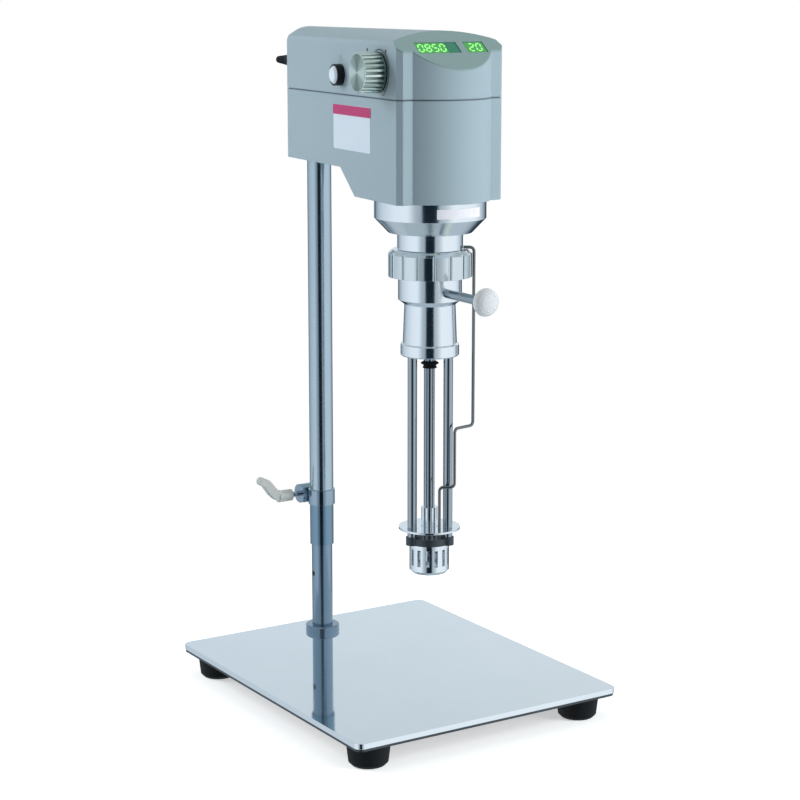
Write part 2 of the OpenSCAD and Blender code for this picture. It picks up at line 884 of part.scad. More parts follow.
// Chassis: a plate on the rear floor with the column socket and a yoke round the motor
chassis_z = head_rear_floor + wall;
chassis_t = 6;
socket_wall = 4;
socket_r = tube_r + socket_wall;
socket_h = tube_top - chassis_z + air;
web_h = 26;
board_gap = 20;
board_y = axis_y + can_r + board_gap;
board_d = 60;
board_t = 1.6;
board_half = half_at(board_y + board_d) - 5 * wall;
pillar_r = 3;
pillar_edge = 6;
pillar_x = board_half - pillar_edge;
module head_chassis() {
    width = 2 * (half_at(rear_y) - 2 * wall);
    yoke_r = can_r + run_fit;
    color("darkgray")
    difference() {
        union() {
            intersection() {
                union() {
                    translate([-width / 2, axis_y, chassis_z])
                        cube([width, reach + head_rear - wall - over, chassis_t]);
                    on_axis(chassis_z) cylinder(r = can_r + wall, h = chassis_t);
                }
                on_chassis_side();
            }
            on_post(chassis_z) cylinder(r = socket_r, h = socket_h + chassis_t);
            translate([-chassis_t / 2, axis_y + can_r, chassis_z])
                cube([chassis_t, reach - can_r - tube_r, web_h]);
            for (sx = [-1, 1], sy = [0, 1])
                translate([sx * pillar_x, board_y + pillar_edge + sy * (board_d - 2 * pillar_edge),
                    chassis_z])
                    cylinder(r = pillar_r, h = web_h);
        }
        on_axis(chassis_z - over) cylinder(r = yoke_r, h = socket_h + 2 * over);
        on_post(chassis_z - over) cylinder(r = tube_r + run_fit, h = socket_h + over);
        chassis_screw_places() translate([0, 0, -over])
            cylinder(r = small_screw_r + seat_fit, h = chassis_t + 2 * over);
    }
}

// Keeps the chassis plate inside the shell's walls
module on_chassis_side() {
    translate([0, 0, chassis_z - over]) linear_extrude(height = chassis_t + 2 * over)
        head_plan(wall + run_fit);
}

chassis_screw_shares = [0.4, 0.62];
module chassis_screw_places() {
    for (sx = [-1, 1], sy = chassis_screw_shares)
        translate([sx * (half_at(rear_y) - 4 * wall), axis_y + reach * sy, chassis_z])
            children();
}

module chassis_screws() {
    color("gray")
    chassis_screw_places() {
        translate([0, 0, -wall / 2]) cylinder(r = small_screw_r, h = chassis_t + wall / 2);
        translate([0, 0, chassis_t]) cylinder(r = small_screw_r * 1.8, h = small_screw_r);
    }
}

// Motor flange: rim, cone, neck and the threaded end for the union nut
module motor_flange() {
    color("silver")
    on_axis(0) rotate_extrude() polygon([
        [flange_throat_r, thread_low], [thread_r, thread_low], [thread_r, nut_top],
        [neck_r, nut_top], [neck_r, cone_low + over], [neck_r - over / 2, cone_low],
        [cone_r, cone_low], [flange_r, flange_low], [flange_r, head_low],
        [can_r - 2 * wall - seat_fit, head_low], [can_r - 2 * wall - seat_fit, can_low],
        [motor_bearing_r + seat_fit, can_low], [motor_bearing_r + seat_fit, bearing_low],
        [flange_throat_r, bearing_low]
    ]);
}

module ball_bearing(outer, inner, h) {
    race = (outer - inner) / 4;
    ball_r = (outer - inner) / 5.2;
    mid = (outer + inner) / 2;
    ring(outer, outer - race, h);
    ring(inner + race, inner, h);
    ring(outer - race, inner + race, h / 6);
    for (i = [0:7]) rotate([0, 0, i * 45]) translate([mid, 0, h / 2]) sphere(r = ball_r, $fn = 24);
}

module motor_bearings() {
    color("lightgray")
    for (z = [bearing_low, can_low + can_h]) on_axis(z)
        ball_bearing(motor_bearing_r, motor_shaft_r + run_fit, motor_bearing_h);
}

module motor_can() {
    vent_h = 8;
    vent_down = 12;
    color("darkgray")
    on_axis(can_low)
    difference() {
        ring(can_r, can_r - can_wall, can_h);
        for (a = [15:30:345]) rotate([0, 0, a])
            translate([can_r - 3 * can_wall, -can_wall, can_h - vent_down])
                cube([6 * can_wall, 2 * can_wall, vent_h]);
    }
}

module motor_field() {
    teeth = 12;
    slot_r = (field_r + field_bore_r) / 2;
    color("#6b4a34")
    on_axis(field_low)
    difference() {
        ring(field_r - seat_fit, field_bore_r, field_h);
        for (i = [0:teeth - 1]) rotate([0, 0, i * 360 / teeth])
            translate([slot_r, 0, -over]) cylinder(r = field_bore_r / 9, h = field_h + 2 * over);
    }
}

module motor_end_cap() {
    seat_wall = 4;
    shaft_gap = 3;
    color("darkgray")
    on_axis(can_low + can_h)
    difference() {
        union() {
            cylinder(r = can_r, h = end_cap_t);
            cylinder(r = motor_bearing_r + seat_wall, h = motor_bearing_h + seat_fit);
        }
        translate([0, 0, -over]) cylinder(r = motor_shaft_r + shaft_gap, h = end_cap_t * 4);
        cylinder(r = motor_bearing_r + seat_fit, h = motor_bearing_h + over);
        for (a = [0:60:300]) rotate([0, 0, a])
            translate([can_r * 0.68, 0, -over]) cylinder(r = can_r / 10, h = end_cap_t + 2 * over);
    }
}

module brush_gear() {
    w = 8;
    reach_out = sqrt(pow(can_r - can_wall - seat_fit, 2) - w * w / 4);
    color("#8a6b3c")
    for (a = [0, 180]) on_axis(commutator_low) rotate([0, 0, a])
        translate([commutator_r + run_fit, -w / 2, over])
            cube([reach_out - commutator_r - air, w, commutator_h - 2 * over]);
}

module commutator() {
    gap_r = 0.4;
    color("#b87333")
    on_axis(commutator_low)
    difference() {
        ring(commutator_r, motor_shaft_r + seat_fit, commutator_h);
        for (a = [0:15:345]) rotate([0, 0, a])
            translate([commutator_r, 0, -over])
                cylinder(r = gap_r, h = commutator_h + 2 * over, $fn = 16);
    }
}

module armature() {
    teeth = 12;
    color("#7a5230")
    on_axis(field_low)
    difference() {
        ring(armature_r, motor_shaft_r + seat_fit, field_h);
        for (i = [0:teeth - 1]) rotate([0, 0, i * 360 / teeth])
            translate([armature_r * 0.8, 0, -over])
                cylinder(r = armature_r / 9, h = field_h + 2 * over);
    }
}

motor_shaft_low = thread_low - air - over;
motor_shaft_top = can_low + can_h + motor_bearing_h;
module motor_shaft() {
    color("lightgray")
    on_axis(motor_shaft_low) cylinder(r = motor_shaft_r, h = motor_shaft_top - motor_shaft_low);
}

fan_up = 6;
module cooling_fan() {
    hub_wall = 4;
    tip_gap = 3;
    blade_t = 2;
    fan_h = 16;
    hub = motor_shaft_r + hub_wall;
    tip = can_r - can_wall - tip_gap;
    color("#303436")
    on_axis(can_low + fan_up) {
        ring(hub, motor_shaft_r + seat_fit, fan_h);
        difference() {
            union() {
                ring(tip, motor_shaft_r + seat_fit, blade_t);
                for (i = [0:8]) rotate([0, 0, i * 40])
                    translate([hub - blade_t, -blade_t / 2, 0]) cube([tip - hub, blade_t, fan_h]);
            }
            translate([0, 0, -over]) cylinder(r = motor_shaft_r + seat_fit, h = fan_h);
        }
    }
}

// Sleeve that joins the motor shaft to the drive shaft inside the flange
coupling_low = capture_low - capture_h;
coupling_gap = 4;
module shaft_coupling() {
    top = bearing_low - coupling_gap;
    color("#4d5357")
    on_axis(coupling_low)
    difference() {
        cylinder(r = flange_throat_r - air, h = top - coupling_low);
        translate([0, 0, -over])
            cylinder(r = shaft_r + seat_fit, h = motor_shaft_low - coupling_low + over);
        translate([0, 0, motor_shaft_low - coupling_low])
            cylinder(r = motor_shaft_r + seat_fit, h = top - coupling_low);
    }
}

// Union nut: fluted outside, threaded inside, with a lip under the work head's flange
flute_turn_share = 0.8;
module union_nut() {
    bevel = nut_h * 0.15;
    flute_r = nut_r * 0.05;
    lip_z = capture_low - air - nut_low;
    color("silver")
    on_axis(nut_low)
    difference() {
        union() {
            cylinder(r = nut_r, h = nut_h - bevel - air);
            translate([0, 0, nut_h - bevel - air])
                cylinder(r1 = nut_r, r2 = nut_r - bevel, h = bevel);
        }
        for (i = [0:nut_flutes - 1]) rotate([0, 0, (i + flute_turn_share) * 360 / nut_flutes])
            translate([nut_r + flute_r * 0.25, 0, -over])
                cylinder(r = flute_r, h = nut_h + 2 * over, $fn = 24);
        translate([0, 0, -over]) cylinder(r = neckring_r + air, h = nut_h);
        translate([0, 0, lip_z]) cylinder(r = capture_r + air, h = thread_low - nut_low - lip_z);
        translate([0, 0, -over]) cylinder(r = thread_r + run_fit, h = nut_h + 2 * over);
    }
}

// Work head: captured flange, collar, barrel and lower flange in one turned piece
bush_bore_r = shaft_r + run_fit;
head_bush_wall = 3;
head_bush_r = shaft_r + head_bush_wall;
head_bearing_r = 11;
head_bearing_h = 8;
coupling_room = 1;
coupling_under = 2;
handle_spigot = 10;
module work_head() {
    flare = barrel_r * 0.03;
    throat_r = flange_throat_r + coupling_room;
    color("silver")
    difference() {
        on_axis(0) rotate_extrude() polygon([
            [head_bush_r, low_flange_low], [low_flange_r - over, low_flange_low],
            [low_flange_r, low_flange_low + over], [low_flange_r, barrel_low - over],
            [low_flange_r - over, barrel_low], [barrel_r + flare, barrel_low],
            [barrel_r - flare, ring_low - barrel_cone_h], [neckring_r, ring_low],
            [neckring_r, capture_low], [capture_r, capture_low], [capture_r, capture_low + capture_h],
            [throat_r, capture_low + capture_h], [throat_r, coupling_low - coupling_under],
            [head_bearing_r, coupling_low - coupling_under], [head_bearing_r, ring_low],
            [head_bush_r, ring_low]
        ]);
        on_axis(low_flange_low - over) for (a = rod_angles) rotate([0, 0, a])
            translate([rod_circle, 0, 0]) cylinder(r = spigot_r + seat_fit, h = spigot_h + over);
        on_axis(handle_z) rotate([90, 0, 0])
            translate([0, 0, neckring_r - handle_spigot])
                cylinder(r = spigot_r + seat_fit, h = handle_spigot + over);
    }
}

module head_bearing() {
    color("lightgray") {
        on_axis(ring_low) ball_bearing(head_bearing_r - seat_fit, bush_bore_r, head_bearing_h);
        on_axis(low_flange_low) ring(head_bush_r - seat_fit, bush_bore_r, low_flange_h);
    }
}

shaft_past = 6;
module drive_shaft() {
    low = rotor_low - shaft_past;
    color("silver")
    on_axis(low) cylinder(r = shaft_r, h = motor_shaft_low - air - low);
}

// Black double cone on the shaft under the lower flange
module shaft_slinger() {
    h = 6.8;
    rim = 8.7;
    drop = 5.8;
    edge = 1;
    waist = shaft_r + edge;
    low = low_flange_low - drop - h;
    color("#141414")
    on_axis(low) rotate_extrude() polygon([
        [shaft_r + seat_fit, 0], [waist + edge, 0], [waist, h * 0.4], [rim, h * 0.62],
        [rim, h * 0.72], [waist, h], [shaft_r + seat_fit, h]
    ]);
}

module at_rods() {
    for (a = rod_angles) rotate([0, 0, a]) translate([rod_circle, 0, 0]) children();
}

module support_rods() {
    color("silver")
    on_axis(carrier_top) at_rods()
    difference() {
        union() {
            cylinder(r = rod_r, h = rod_len);
            cylinder(r = spigot_r, h = rod_len + spigot_h - over);
        }
        translate([0, 0, -over])
            cylinder(r = rod_screw_r + seat_fit, h = rod_screw_grip + 2 * over);
    }
}

// Sunk screws that hold the stator plate to the rods
rod_screw_r = 2.5;
rod_screw_grip = 12;
rod_screw_head_r = 4.4;
rod_screw_head_h = 2.2;
module rod_screws() {
    color("silver")
    on_axis(carrier_low) at_rods() {
        cylinder(r = rod_screw_head_r, h = rod_screw_head_h);
        cylinder(r = rod_screw_r, h = carrier_t + rod_screw_grip);
    }
}

// Three-lobed plate that carries the stator at the foot of the rods
module stator_plate() {
    color("#2f3739")
    on_axis(carrier_low)
    difference() {
        union() {
            cylinder(r = stator_r + lobe_edge, h = carrier_t - over);
            at_rods() cylinder(r = lobe_r, h = carrier_t);
        }
        translate([0, 0, -over]) cylinder(r = hub_r + seat_fit, h = carrier_t + 2 * over);
        at_rods() {
            translate([0, 0, -over])
                cylinder(r = rod_screw_r + seat_fit, h = carrier_t + 2 * over);
            translate([0, 0, -over])
                cylinder(r = rod_screw_head_r + seat_fit, h = rod_screw_head_h + seat_fit + over);
        }
    }
}

module bearing_housing() {
    bush_wall = 1.6;
    bore_r = shaft_r + bush_wall;
    color("silver")
    on_axis(carrier_low) ring(hub_r, bore_r, carrier_t + hub_h);
    color("#c9b28a")
    on_axis(carrier_low) ring(bore_r, bush_bore_r, carrier_t + hub_h);
}

module stator() {
    slot_w = 2 * PI * stator_r / stator_slots * 0.4;
    slot_low = stator_h * 0.3;
    slot_high = stator_h * 0.85;
    bevel = stator_h / 9;
    color("silver")
    on_axis(stator_low)
    difference() {
        union() {
            translate([0, 0, bevel]) cylinder(r = stator_r, h = stator_h - bevel);
            cylinder(r1 = stator_r - bevel, r2 = stator_r, h = bevel);
        }
        translate([0, 0, -over]) cylinder(r = stator_bore_r, h = stator_h + 2 * over);
        for (i = [0:stator_slots - 1]) rotate([0, 0, i * 360 / stator_slots])
            translate([stator_bore_r - over, -slot_w / 2, slot_low])
                cube([stator_wall + 2 * over, slot_w, slot_high - slot_low]);
    }
}

module rotor() {
    boss_wall = 3;
    boss = shaft_r + boss_wall;
    blade_t = 4;
    color("silver")
    on_axis(rotor_low)
    difference() {
        union() {
            cylinder(r = boss, h = rotor_h);
            for (i = [0:rotor_blades - 1]) rotate([0, 0, i * 360 / rotor_blades])
                intersection() {
                    translate([0, -blade_t / 2, 0]) cube([rotor_r + over, blade_t, rotor_h * 0.9]);
                    cylinder(r = rotor_r, h = rotor_h);
                }
        }
        translate([0, 0, -over]) cylinder(r = shaft_r + seat_fit, h = rotor_h + 2 * over);
    }
}

module rotor_nut() {
    h = 4;
    nut_wall = 2.5;
    color("gray")
    on_axis(rotor_low - h)
    difference() {
        cylinder(r = shaft_r + nut_wall, h = h, $fn = 6);
        translate([0, 0, -over]) cylinder(r = shaft_r + seat_fit, h = h + 2 * over);
    }
}

// Side handle: rod and mushroom knob that point at the operator
module handle_rod() {
    start = neckring_r + seat_fit;
    neck = handle_reach + handle_knob_r * knob_profile_shares[0][1];
    spigot_low = neckring_r - handle_spigot + over;
    color("silver")
    on_axis(handle_z) rotate([90, 0, 0]) {
        translate([0, 0, start]) cylinder(r = handle_rod_r, h = neck - start);
        translate([0, 0, spigot_low]) cylinder(r = spigot_r, h = handle_reach - spigot_low);
    }
}

// Outline of the mushroom from its neck to the crown of its dome
knob_profile_shares = [
    [0.46, -0.62], [0.46, -0.4], [0.82, -0.34], [0.95, -0.26], [1, -0.12], [0.985, 0.02],
    [0.93, 0.16], [0.8, 0.31], [0.6, 0.43], [0.36, 0.5], [0.12, 0.53], [0, 0.53]
];
module handle_knob() {
    color("whitesmoke")
    on_axis(handle_z) rotate([90, 0, 0])
    difference() {
        translate([0, 0, handle_reach]) rotate_extrude()
            polygon(concat(
                [[0, knob_profile_shares[0][1] * handle_knob_r]],
                [for (s = knob_profile_shares) s * handle_knob_r]
            ));
        cylinder(r = spigot_r + seat_fit, h = handle_reach + over / 2);
    }
}

// Baffle disc that hangs on a bent wire: the wire's hook rests on the union nut
module baffle_disc() {
    color("silver")
    on_axis(disc_low)
    difference() {
        cylinder(r = disc_r, h = disc_t);
        translate([0, 0, -over]) cylinder(r = hub_r + air, h = disc_t + 2 * over);
        translate([0, 0, -over]) at_rods() cylinder(r = rod_r + air, h = disc_t + 2 * over);
    }
}

function unit(v) = v / norm(v);

// A corner at b, rounded to radius r between its neighbours a and c
function bend(a, b, c, r, steps) =
    let (
        d = unit(b - a),
        e = unit(c - b),
        turn = acos(d * e),
        n = unit(e - d * (d * e)),
        start = b - d * r * tan(turn / 2)
    )
    [for (i = [0:steps]) let (t = turn * i / steps) start + r * (sin(t) * d + (1 - cos(t)) * n)];

function rounded_path(p, r, steps) = concat(
    [p[0]],
    [for (i = [1:len(p) - 2]) each bend(p[i - 1], p[i], p[i + 1], r, steps)],
    [p[len(p) - 1]]
);

function heading(p, i) = unit(p[min(i + 1, len(p) - 1)] - p[max(i - 1, 0)]);

// Side vectors carried along the path without twist
function side_vectors(p, i, n) =
    i == len(p) ? [] :
    let (t = heading(p, i), m = unit(n - t * (n * t)))
    concat([m], side_vectors(p, i + 1, m));

module swept_wire(path, r, sides) {
    m = side_vectors(path, 0, [0, 1, 0]);
    points = [
        for (i = [0:len(path) - 1], k = [0:sides - 1])
            let (t = heading(path, i), a = 360 * k / sides)
            path[i] + r * (cos(a) * m[i] + sin(a) * cross(t, m[i]))
    ];
    last = (len(path) - 1) * sides;
    walls = [
        for (i = [0:len(path) - 2], k = [0:sides - 1])
            let (a = i * sides + k, b = i * sides + (k + 1) % sides)
            each [[a, a + sides, b + sides], [a, b + sides, b]]
    ];
    caps = [
        [for (k = [0:sides - 1]) k],
        [for (k = [sides - 1:-1:0]) last + k]
    ];
    polyhedron(points = points, faces = concat(walls, caps));
}

wire_bend_r = 4;
wire_level_shares = [0.387, 0.711];
wire_mid = 24.5;
wire_near = 10;
wire_front = -18;
module lift_wire() {
    hook_z = nut_top + wire_r;
    levels = [for (s = wire_level_shares) low_flange_low - s * rod_len];
    bends = [
        [neck_r + air, 0, hook_z],
        [wire_out, 0, hook_z],
        [wire_out, 0, levels[0]],
        [wire_mid, wire_front, levels[0]],
        [wire_mid, wire_front, levels[1]],
        [wire_near, wire_front, levels[1]],
        [wire_near, wire_front, disc_low + disc_t]
    ];
    color("silver")
    on_axis(0) rotate([0, 0, wire_turn])
        swept_wire(rounded_path(bends, wire_bend_r, 5), wire_r, 12);
}

module control_board() {
    part_h = 14;
    color("#2e6b3f")
    translate([-board_half, board_y, chassis_z + web_h]) {
        cube([2 * board_half, board_d, board_t]);
        translate([board_half / 3, board_d / 5, board_t])
            cube([board_half, board_d / 4, part_h]);
        for (i = [1:3]) translate([board_half * i / 2, board_d * 0.7, board_t])
            cylinder(r = part_h / 4, h = part_h);
    }
}

module display_board() {
    w = 84;
    lift = 4;
    color("#2e6b3f")
    on_facet(-w / 2, display_up - display_h / 2 + lift)
        translate([0, 0, -panel_t / 2 - display_t - board_t])
            cube([w, display_h, board_t]);
}

placed() base_skin();
placed() base_core();
placed() foot(-1, -1);  // foot_front_left
placed() foot(1, -1);  // foot_front_right
placed() foot(-1, 1);  // foot_rear_left
placed() foot(1, 1);  // foot_rear_right
placed() foot_screws();
placed() post();
placed() post_collar();
placed() post_bolt();
placed() post_stop_screw();
placed() column_tube();
placed() clamp_band();
placed() clamp_nut();
placed() clamp_screw();
placed() clamp_lever();
placed() lower_housing();
placed() top_cover();
placed() display_panel();
placed() speed_display();
placed() time_display();
placed() knob_scale();
placed() switch_bezel();
placed() switch_body();
placed() power_button();
placed() cable_gland();
placed() cable_boot();
placed() head_chassis();
placed() chassis_screws();
placed() motor_flange();
placed() motor_can();
placed() motor_field();
placed() motor_end_cap();
placed() motor_bearings();
placed() brush_gear();
placed() speed_control();
placed() control_board();
placed() display_board();
placed() armature();
placed() commutator();
placed() motor_shaft();
placed() cooling_fan();
placed() shaft_coupling();
placed() drive_shaft();
placed() shaft_slinger();
placed() rotor();
placed() rotor_nut();
placed() union_nut();
placed() work_head();
placed() head_bearing();
placed() support_rods();
placed() rod_screws();
placed() stator_plate();
placed() stator();
placed() bearing_housing();
placed() handle_rod();
placed() handle_knob();
placed() baffle_disc();
placed() lift_wire();
placed() speed_knob();
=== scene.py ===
"""Looks for the high-shear homogenizer. Lengths are in metres, in the CAD frame, unless a name or a
comment gives millimetres."""
import json
import math

import bmesh
import bpy
from mathutils import Matrix, Vector


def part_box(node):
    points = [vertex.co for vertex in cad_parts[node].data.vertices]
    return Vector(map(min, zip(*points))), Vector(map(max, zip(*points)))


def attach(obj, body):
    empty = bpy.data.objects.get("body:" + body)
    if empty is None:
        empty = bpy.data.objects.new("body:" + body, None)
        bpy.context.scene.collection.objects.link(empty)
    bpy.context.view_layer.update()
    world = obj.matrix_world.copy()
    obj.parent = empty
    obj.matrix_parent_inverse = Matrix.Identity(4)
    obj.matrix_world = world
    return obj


MM = 0.001
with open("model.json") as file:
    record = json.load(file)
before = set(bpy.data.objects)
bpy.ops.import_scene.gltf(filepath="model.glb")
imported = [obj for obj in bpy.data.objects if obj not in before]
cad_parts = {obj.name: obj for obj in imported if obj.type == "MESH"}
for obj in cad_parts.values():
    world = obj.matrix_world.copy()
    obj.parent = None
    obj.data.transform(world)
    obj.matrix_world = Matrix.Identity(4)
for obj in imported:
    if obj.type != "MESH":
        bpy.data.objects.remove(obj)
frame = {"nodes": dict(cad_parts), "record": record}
nodes = frame["nodes"]
joints = {joint["name"]: joint for joint in frame["record"]["behaviour"]["joints"]}
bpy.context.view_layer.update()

# Camera at the photograph's viewing angle

scene = bpy.context.scene
scene.view_settings.view_transform = "Standard"
camera_data = bpy.data.cameras.new("camera")
camera_data.sensor_width = 36
camera_data.lens = 93.70
camera_data.clip_end = 50
camera = bpy.data.objects.new("camera", camera_data)
camera.location = (-1.08483, -1.73451, 0.71641)
camera.rotation_euler = (math.radians(78.675), 0, math.radians(-32.36))
scene.collection.objects.link(camera)
scene.camera = camera

# Places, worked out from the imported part: the mixing axis, the knob, the directions out of the
# head's left side and back along it, the display facet, the power button, the clamp band, the
# flange and the seam

AXIS = Vector(joints["rotor_spin"]["pos_m"])
KNOB = Vector(joints["speed_turn"]["pos_m"])
SIDE_OUT = Vector(joints["speed_turn"]["axis"]).normalized()
SIDE_BACK = Vector((SIDE_OUT.y, -SIDE_OUT.x, 0))
PANEL_T = 1.18 * MM
FACET_TILT = math.radians(38.7)
PANEL_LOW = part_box("display_panel")[0]
FACET = Vector((0, PANEL_LOW.y, PANEL_LOW.z + PANEL_T / math.cos(FACET_TILT)))
BUTTON_LOW, BUTTON_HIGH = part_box("power_button")
BUTTON = (BUTTON_LOW + BUTTON_HIGH) / 2 - KNOB
BAND_LOW, BAND_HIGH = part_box("clamp_band")
FLANGE_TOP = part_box("motor_flange")[1]
SEAM_HALF = 0.4 * MM
SEAM_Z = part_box("top_cover")[0].z - SEAM_HALF


def face_out(name):
    """How far a node reaches out of the head's left side, in millimetres."""
    return max((v.co - KNOB).dot(SIDE_OUT) for v in nodes[name].data.vertices) / MM


KNOB_FACE = face_out("speed_knob")
KNOB_R = max((SIDE_OUT.cross(v.co - KNOB)).length for v in nodes["speed_knob"].data.vertices) / MM
SCALE_FACE = face_out("knob_scale")


def side_frame(back, up):
    """A frame on the head's left side, in millimetres from the knob: x forward, y up, z out."""
    place = KNOB + (SIDE_BACK * back + Vector((0, 0, up))) * MM
    turn = Matrix((-SIDE_BACK, Vector((0, 0, 1)), SIDE_OUT)).transposed().to_4x4()
    return Matrix.Translation(place) @ turn


def facet_frame(across, up):
    """A frame on the display facet, in millimetres: x across it, y up its slope, z out."""
    turn = Matrix.Rotation(FACET_TILT, 4, "X")
    return Matrix.Translation(FACET) @ turn @ Matrix.Translation(Vector((across, up, 0)) * MM)


# Node trees


class Nodes:
    """A short way to build a node tree."""

    def __init__(self, tree):
        self.tree = tree
        tree.nodes.clear()

    def add(self, kind, ins=None, **props):
        node = self.tree.nodes.new(kind)
        for key, value in props.items():
            setattr(node, key, value)
        for key, value in (ins or {}).items():
            if isinstance(value, bpy.types.NodeSocket):
                self.tree.links.new(value, node.inputs[key])
            else:
                node.inputs[key].default_value = value
        return node

    def math(self, op, a, b=0.0):
        return self.add("ShaderNodeMath", {0: a, 1: b}, operation=op).outputs[0]

    def vector(self, op, a, b=(0, 0, 0), out="Value"):
        return self.add("ShaderNodeVectorMath", {0: a, 1: b}, operation=op).outputs[out]

    def axes(self, vector):
        """A vector's X, Y and Z."""
        return self.add("ShaderNodeSeparateXYZ", {"Vector": vector}).outputs

    def fade(self, value, start, end, low=0.0, high=1.0):
        """A clamped straight line from low at start to high at end."""
        ins = {"Value": value, "From Min": start, "From Max": end, "To Min": low, "To Max": high}
        return self.add("ShaderNodeMapRange", ins).outputs[0]

    def ramp(self, fac, stops):
        node = self.add("ShaderNodeValToRGB", {"Fac": fac})
        elements = node.color_ramp.elements
        while len(elements) < len(stops):
            elements.new(0.5)
        for element, (pos, colour) in zip(elements, stops):
            element.position = pos
            element.color = (*colour, 1)
        return node.outputs["Color"]

    def noise(self, vector, scale, detail, rough):
        ins = {"Vector": vector, "Scale": scale, "Detail": detail, "Roughness": rough}
        return self.add("ShaderNodeTexNoise", ins).outputs["Fac"]

    def mix(self, fac, a, b):
        node = self.add("ShaderNodeMix", data_type="RGBA")
        for index, value in ((0, fac), (6, a), (7, b)):
            if isinstance(value, bpy.types.NodeSocket):
                self.tree.links.new(value, node.inputs[index])
            else:
                node.inputs[index].default_value = value if index == 0 else (*value, 1)
        return node.outputs[2]


def lathe_rings(n, place, scale):
    """Tool marks round the mixing axis, which stands at x = 0."""
    axes = n.axes(place)
    across = n.math("POWER", axes["X"], 2.0)
    deep = n.math("POWER", n.math("SUBTRACT", axes["Y"], AXIS.y), 2.0)
    along = n.math("ADD", axes["Z"], n.math("SQRT", n.math("ADD", across, deep)))
    turned = n.add("ShaderNodeCombineXYZ", {"X": along}).outputs[0]
    return n.noise(turned, scale, 3, 0.7)


# Painted light and shade that follow a piece's form: each takes a node tree, the place and the
# plain colour

# How far the painted shade along the seam reaches from it
SEAM_SHADE_REACH = 1.7 * MM
# Depths in from the knob's radius, in millimetres: a rib's foot and its crest
RIB_FOOT, RIB_CREST = 0.95, 0.25
# Depths behind the knob's face: where the ribs end
RIB_END, FACE_START = 1.2, 0.9
# Stretches along the knob, out from the head: the painted shade in its grooves grows paler, and a
# painted shadow darkens its foot
GROOVE_SHADE_FROM, GROOVE_SHADE_TO = 9.0, 21.0
FOOT_SHADOW_FROM, FOOT_SHADOW_TO = 2.0, 9.5
# Turn of the painted reflection's wedges round the knob's face
REFLECTION_WEDGE_TURN = math.radians(85)


def seam_painted_shade(n, place, colour):
    """Painted shade along the seam between the two shells."""
    off = n.math("ABSOLUTE", n.math("SUBTRACT", n.axes(place)["Z"], SEAM_Z))
    return n.mix(n.fade(off, SEAM_HALF, SEAM_SHADE_REACH), (0.22, 0.29, 0.335), colour)


def knob_painted_shade(n, place, colour):
    """Painted shade in the grooves between the knob's ribs, and a painted shadow on its foot."""
    rel = n.vector("SUBTRACT", place, KNOB, "Vector")
    along = n.vector("DOT_PRODUCT", rel, SIDE_OUT)
    length = n.math("POWER", n.vector("LENGTH", rel), 2.0)
    away = n.math("SQRT", n.math("SUBTRACT", length, n.math("POWER", along, 2.0)))
    ribs = n.fade(away, (KNOB_R - RIB_FOOT) * MM, (KNOB_R - RIB_CREST) * MM)
    front = n.fade(along, (KNOB_FACE - RIB_END) * MM, (KNOB_FACE - FACE_START) * MM)
    paler = n.fade(along, GROOVE_SHADE_FROM * MM, GROOVE_SHADE_TO * MM)
    # Painted shade in the grooves, deep near the head and paler towards the front
    groove_shade = n.mix(paler, (0.06, 0.09, 0.08), (0.34, 0.42, 0.38))
    colour = n.mix(n.math("MAXIMUM", ribs, front), groove_shade, colour)
    # Painted shadow on the knob's foot, next to the head
    return n.mix(n.fade(along, FOOT_SHADOW_FROM * MM, FOOT_SHADOW_TO * MM), (0.08, 0.12, 0.11), colour)


def spun_painted_reflection(n, place, colour):
    """Painted reflection: pale and dark wedges round the middle of the knob's spun face, a painted
    highlight and painted shade.
    """
    rel = n.vector("SUBTRACT", place, KNOB, "Vector")
    angle = n.math("ARCTAN2", n.axes(rel)["Z"], n.vector("DOT_PRODUCT", rel, SIDE_BACK))
    wave = n.math("SINE", n.math("ADD", n.math("MULTIPLY", angle, 2.0), REFLECTION_WEDGE_TURN))
    # Painted highlight in the pale wedges
    pale = n.mix(n.fade(wave, 0.35, 0.95), colour, (0.78, 0.89, 0.82))
    # Painted shade in the dark wedges
    return n.mix(n.fade(wave, -0.30, -0.90), pale, (0.26, 0.34, 0.30))


def column_end_painted_shade(n, place, colour):
    """Painted shade: the column's end below the clamp is darker than the rest, standing in for its
    darker reflections.
    """
    above = n.fade(n.axes(place)["Z"], BAND_LOW.z, BAND_HIGH.z)
    return n.mix(above, (0.20, 0.31, 0.40), colour)


# Materials

# How much finer the drift of the gloss is than that of the colour
SHINE_FINER = 3.1
BUMP_DEPTH = 0.2 * MM


